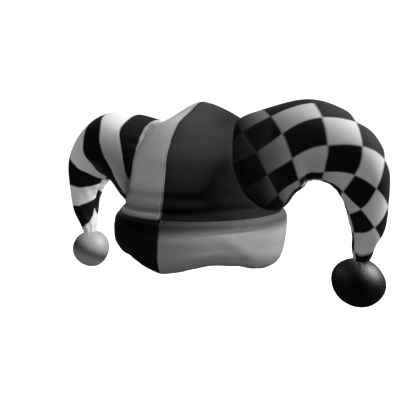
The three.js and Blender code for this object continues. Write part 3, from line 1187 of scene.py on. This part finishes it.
def horn(name, side, material, pattern, painted_print_shade=None):
    """A stuffed tube with closed ends, its UV map made by the pattern."""
    share, turn, outside = horn_grid(side, HORN_ROWS_FINE, 1)
    outside = outside + swelling(name, outside.shape[:2], ring=True)
    normals = grid_normals(outside, ring=True)
    middle = horn_points(share, turn + math.pi, side)
    normals *= np.sign(np.sum(normals * (outside - middle), axis=-1).mean())
    outside = outside + normals * horn_relief(outside, share, turn, side)[..., None]
    closed = np.concatenate([outside, outside[:, :1]], axis=1)
    shares = np.concatenate([share, share[:, :1]], axis=1)
    columns = HORN_COLUMNS + 1
    degrees = np.degrees(SEAM_TURN) + np.arange(columns) * (360 / HORN_COLUMNS)
    outer_cloth[name] = closed
    points = closed.reshape(-1, 3)
    faces = [grid_faces(HORN_ROWS_FINE, columns)]
    uvs = pattern(shares, degrees).reshape(-1, 2)
    for row, on_hat in ((0, True), (HORN_ROWS_FINE - 1, False)):
        hub = closed[row, :-1].mean(0)
        cap = np.array([closed[row] + (hub - closed[row]) * k / CAP_RINGS for k in range(1, CAP_RINGS + 1)])
        if on_hat:
            cap = onto_hat(cap, 4 * SEAM)
        edge = np.arange(row * columns, (row + 1) * columns)
        order = np.append(edge, len(points) + np.arange(CAP_RINGS * columns))
        faces.append(order[grid_faces(CAP_RINGS + 1, columns)])
        points = np.vstack([points, cap.reshape(-1, 3)])
        uvs = np.vstack([uvs, np.tile(uvs[edge], (CAP_RINGS, 1))])
    paint = None
    # Painted shade on the checked horn's print and on its closed ends.
    if painted_print_shade is not None:
        paint = np.append(painted_print_shade(shares, degrees), np.full(len(points) - shares.size, END_PRINT_SHADE))
    # Painted shade on the horn's outside.
    painted_shade_points = horn_painted_shade(outside, share, turn, side)
    painted_shade_points = np.concatenate([painted_shade_points, painted_shade_points[:, :1]], axis=1)
    painted_shade = np.append(painted_shade_points, np.full(len(points) - painted_shade_points.size, END_PAINTED_SHADE))
    return make_piece(name, points, faces, material, pattern=uvs, painted_print_shade=paint, painted_shade=painted_shade)


horn_checked = horn("horn_checked_cloth", 1, checked_velour, check_map, check_painted_shade)
horn_striped = horn("horn_striped_cloth", -1, striped_velour, stripe_map)

# %% [markdown]
# ## The balls
# A ball is a stuffed round of velour, sewn shut where it meets the tip of its horn. The closing stitches
# draw small pleats there, and the stuffing leaves the surface a little uneven.

# %% Build a ball
BALL_COLUMNS = 128
BALL_RINGS = 90


def ball(name, side, material):
    """A stuffed ball on the end of a horn."""
    tilt = np.linspace(0, math.pi, BALL_RINGS)[:, None]
    turn = np.arange(BALL_COLUMNS)[None, :] * (2 * math.pi / BALL_COLUMNS)
    out = np.stack([np.sin(tilt) * np.cos(turn), np.sin(tilt) * np.sin(turn), np.cos(tilt) + 0 * turn], -1)
    relief = 0.0006 * soft_noise(out * BALL_RADIUS, 0.03, 81 + side)
    pleats = np.sin(15 * turn + 1.5 * soft_noise(out * BALL_RADIUS, 0.03, 83 + side))
    relief = relief + 0.0003 * pleats * bell(tilt, 0.45) * fade(tilt, 0.0, 0.12)
    relief = relief - SEAM_DEPTH * bell(tilt, 0.3)
    centre = np.array((side * BALL_PLACE.x, 0.0, BALL_PLACE.z))
    points = centre + out * (BALL_RADIUS + relief[..., None])
    for row in (0, -1):
        points[row] = points[row].mean(0)
    faces = [grid_faces(BALL_RINGS, BALL_COLUMNS, ring_columns=True)]
    # A tilted band of painted shade round the ball.
    painted_shade_points = 0.76 * bell(out @ np.array((0.43, 0.30, 0.85)), 0.32)
    return make_piece(name, points.reshape(-1, 3), faces, material, painted_shade=painted_shade_points)


ball_black = ball("ball_black_cloth", 1, black_ball_velour)
ball_white = ball("ball_white_cloth", -1, white_ball_velour)

# %% [markdown]
# ## Stitches
# The seams are sewn through with a strong thread: a row beside the crown's middle seam, one above its lower
# seam, one round each horn's root, and one above the hem. A stitch is a short rounded piece of thread that
# repeats along a path, which is what Geometry Nodes do well: the path is cut to an even pitch, a stitch is set
# at each point along its direction, and each is a little different.

# %% Thread
def thread(name, colour):
    """Twisted sewing thread."""
    material, tree, shader, place = new_material(name)
    twist = node(tree, "ShaderNodeTexWave", Vector=place, Scale=900.0, Distortion=2.0)
    fuzz = node(tree, "ShaderNodeTexNoise", Vector=place, Scale=2500.0, Detail=2.0)
    light = tuple(min(1.0, value * 1.15 + 0.001) for value in colour)
    base = mix_colour(tree, fuzz.outputs["Fac"], colour, light)
    bump = node(tree, "ShaderNodeBump", Strength=0.4, Distance=0.0001, Height=twist.outputs["Fac"])
    set_inputs(shader, Base_Color=base, Normal=bump.outputs["Normal"])
    set_inputs(shader, Roughness=0.75, Specular_IOR_Level=0.15)
    return material


# Both pale threads are white thread darkened as painted shade, the cuff's more than the crown's.
shaded_white_thread = thread("shaded_white_thread", (0.33, 0.33, 0.328))
cuff_thread = thread("cuff_thread", (0.19, 0.19, 0.189))
black_thread = thread("black_thread", (0.005, 0.005, 0.0052))
print("threads:", [m.name for m in bpy.data.materials if m.name.endswith("thread")])

# %% The tree that sews along a path
STITCH_SOCKETS = {
    "Path": "Geometry",
    "Pitch": "Float",
    "Stitch Length": "Float",
    "Thread Radius": "Float",
    "Seed": "Int",
    "Thread": "Material",
}


def stitch_tree():
    """Sews a row of stitches along the edges of a mesh. Returns the tree and its inputs by name."""
    tree = bpy.data.node_groups.new("stitches", "GeometryNodeTree")
    inputs = {}
    for name, kind in STITCH_SOCKETS.items():
        socket = tree.interface.new_socket(name, in_out="INPUT", socket_type="NodeSocket" + kind)
        inputs[name] = socket.identifier
    tree.interface.new_socket("Stitches", in_out="OUTPUT", socket_type="NodeSocketGeometry")
    given = tree.nodes.new("NodeGroupInput").outputs
    curve = node(tree, "GeometryNodeMeshToCurve", Mesh=given["Path"])
    cut = node(tree, "GeometryNodeResampleCurve", mode="LENGTH", Curve=curve.outputs[0])
    set_inputs(cut, Length=given["Pitch"])
    bead = node(tree, "GeometryNodeMeshUVSphere", Segments=6, Rings=5, Radius=1.0)
    half = maths(tree, "MULTIPLY", given["Stitch Length"], 0.5)
    radius = given["Thread Radius"]
    size = node(tree, "ShaderNodeCombineXYZ", X=radius, Y=radius, Z=half)
    shape = node(tree, "GeometryNodeTransform", Geometry=bead.outputs["Mesh"], Scale=size.outputs[0])
    tangent = tree.nodes.new("GeometryNodeInputTangent")
    turn = node(tree, "FunctionNodeAlignRotationToVector", axis="Z", Vector=tangent.outputs[0])
    vary = node(tree, "FunctionNodeRandomValue", data_type="FLOAT", Seed=given["Seed"])
    vary.inputs[2].default_value = 0.85
    vary.inputs[3].default_value = 1.1
    place = node(tree, "GeometryNodeInstanceOnPoints", Points=cut.outputs[0], Instance=shape.outputs[0],
                 Rotation=turn.outputs[0], Scale=vary.outputs[1])
    real = tree.nodes.new("GeometryNodeRealizeInstances")
    smooth = tree.nodes.new("GeometryNodeSetShadeSmooth")
    paint = node(tree, "GeometryNodeSetMaterial", Material=given["Thread"])
    chain = (place, real, smooth, paint, tree.nodes.new("NodeGroupOutput"))
    for before, after in zip(chain, chain[1:]):
        tree.links.new(before.outputs[0], after.inputs[0])
    return tree, inputs


STITCH_TREE, STITCH_INPUTS = stitch_tree()
print("inputs of the stitch tree:", list(STITCH_INPUTS))


# %% Sew along paths
STITCH_SIZES = {"Pitch": 0.0042, "Stitch Length": 0.0030, "Thread Radius": 0.00032}


def sew(name, paths, material, seed):
    """One piece of plain mesh that holds the stitches along some paths."""
    edges = []
    first = 0
    for path in paths:
        edges += [(first + i, first + i + 1) for i in range(len(path) - 1)]
        first += len(path)
    guide_mesh = bpy.data.meshes.new(name + "_path")
    guide_mesh.from_pydata(np.vstack(paths).tolist(), edges, [])
    guide = add_object(name + "_path", guide_mesh)
    modifier = guide.modifiers.new("stitches", "NODES")
    modifier.node_group = STITCH_TREE
    for key, value in {**STITCH_SIZES, "Seed": seed, "Thread": material}.items():
        modifier[STITCH_INPUTS[key]] = value
    ready = guide.evaluated_get(bpy.context.evaluated_depsgraph_get())
    mesh = bpy.data.meshes.new_from_object(ready)
    mesh.name = name
    mesh.materials.clear()
    mesh.materials.append(material)
    mesh.polygons.foreach_set("material_index", [0] * len(mesh.polygons))
    bpy.data.objects.remove(guide)
    print(name, "faces", len(mesh.polygons))
    return add_object(name, mesh)


def beside_middle(grid, distance):
    """A path up the front of a crown half and down its back, at a distance from the middle seam."""
    front, back = [], []
    for row in grid[4:]:
        reach = np.abs(row[:, 0])
        widest = int(np.argmax(reach))
        if reach[widest] < distance * 2:
            break
        for path, part in ((front, slice(0, widest)), (back, slice(len(reach) - 1, widest, -1))):
            path.append([np.interp(distance, reach[part], row[part, axis]) for axis in range(3)])
    return [np.array(front), np.array(back)]


def nearest_row(grid, height):
    """The row of a grid whose middle point is nearest to a height."""
    return int(np.argmin(np.abs(grid[:, grid.shape[1] // 2, 2] - height)))


# %% Sew each piece with its thread
BESIDE_MIDDLE = 0.0032
ABOVE_SEAM = 0.0040
HEM_STITCH_ROW = int(0.88 * CUFF_FINE)
ROOT_STITCH_ROW = 4
THREAD_OF = {"crown_white": shaded_white_thread, "cuff_white": cuff_thread}
stitches = {}
for number, (cloth_name, grid) in enumerate(outer_cloth.items()):
    node_name = cloth_name.removesuffix("_cloth")
    if node_name.startswith("crown"):
        paths = beside_middle(grid, BESIDE_MIDDLE) + [grid[nearest_row(grid, ABOVE_SEAM), 4:-4]]
    elif node_name.startswith("cuff"):
        paths = [grid[HEM_STITCH_ROW, 4:-4]]
    else:
        paths = [grid[ROOT_STITCH_ROW]]
    material = THREAD_OF.get(node_name, black_thread)
    stitches[node_name] = sew(node_name + "_stitches", paths, material, 100 + number)

# %% [markdown]
# ## Tie the cloth to the frame
# Each finished piece of cloth stands for one imported piece, which is hidden. The cuff, the horns and the
# balls are stuffed.

# %% Attach each piece and hide its imported part
cloth_pieces = (
    crown_white, crown_black, cuff_black, cuff_white, horn_striped, horn_checked, ball_black, ball_white
)
for piece in cloth_pieces:
    node_name = piece.name.removesuffix("_cloth")
    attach(piece, "root")
    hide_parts(node_name)
for node_name, piece in stitches.items():
    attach(piece, "root")
print("declared", len(cloth_pieces) + len(stitches), "pieces")

# %% [markdown]
# ## Floor and light
# The photograph has a plain white ground with no shadow. The ground here is a wide white bowl that only the
# camera sees, so that it gives the hat no light of its own. One large soft lamp stands to the right and
# above. It casts no shadows, because the photograph shows none, and a pale world lights the rest evenly.

# %% White ground
BOWL_RADIUS = 9.0
FLOOR_HEIGHT = -0.30
BOWL_COLUMNS = 64


def white_bowl():
    """A flat floor that curves up into a round wall."""
    rings = [(r, 0.0) for r in np.linspace(0.02, 0.75, 12) * BOWL_RADIUS]
    rings += [
        (BOWL_RADIUS * (0.75 + 0.25 * math.sin(a)), BOWL_RADIUS * 0.25 * (1 - math.cos(a)))
        for a in np.linspace(0, math.pi / 2, 12)[1:]
    ]
    rings += [(BOWL_RADIUS, h) for h in (4.0, 6.0, 9.0)]
    turn = np.arange(BOWL_COLUMNS) * (2 * math.pi / BOWL_COLUMNS)
    points = [(r * math.cos(t), r * math.sin(t), FLOOR_HEIGHT + h) for r, h in rings for t in turn]
    mesh = bpy.data.meshes.new("white_ground")
    faces = grid_faces(len(rings), BOWL_COLUMNS, ring_columns=True).tolist()
    mesh.from_pydata(points, [], faces + [list(range(BOWL_COLUMNS - 1, -1, -1))])
    return add_object("white_ground", mesh)


ground_paint = bpy.data.materials.new("white_ground")
ground_paint.use_nodes = True
white = (1.0, 1.0, 1.0, 1.0)
ground_shader = ground_paint.node_tree.nodes["Principled BSDF"]
set_inputs(ground_shader, Base_Color=(0.9, 0.9, 0.9, 1.0), Emission_Color=white, Emission_Strength=1.0)
ground = white_bowl()
ground.data.materials.append(ground_paint)
for ray in ("diffuse", "glossy", "transmission", "shadow"):
    setattr(ground, "visible_" + ray, False)
print("the ground lies at", FLOOR_HEIGHT, "m")

# %% Lights
# The key lamp's direction is given as the camera sees it: right, up and towards the camera.
KEY_DIRECTION = Vector((0.75, 0.62, 0.14)).normalized()
KEY_DISTANCE = 1.6
KEY_SIZE = 1.2
KEY_WATTS = 47.0
WORLD_STRENGTH = 0.34

key_data = bpy.data.lights.new("key_lamp", "AREA")
key_data.size = KEY_SIZE
key_data.energy = KEY_WATTS
key_data.use_shadow = False
direction = camera.rotation_euler.to_matrix() @ KEY_DIRECTION
key_lamp = add_object("key_lamp", key_data)
key_lamp.location = direction * KEY_DISTANCE
key_lamp.rotation_euler = direction.to_track_quat("Z", "Y").to_euler()
world = bpy.data.worlds.new("pale_world")
world.use_nodes = True
set_inputs(world.node_tree.nodes["Background"], Color=white, Strength=WORLD_STRENGTH)
world.cycles_visibility.glossy = False
bpy.context.scene.world = world
bpy.context.scene.view_settings.view_transform = "Standard"
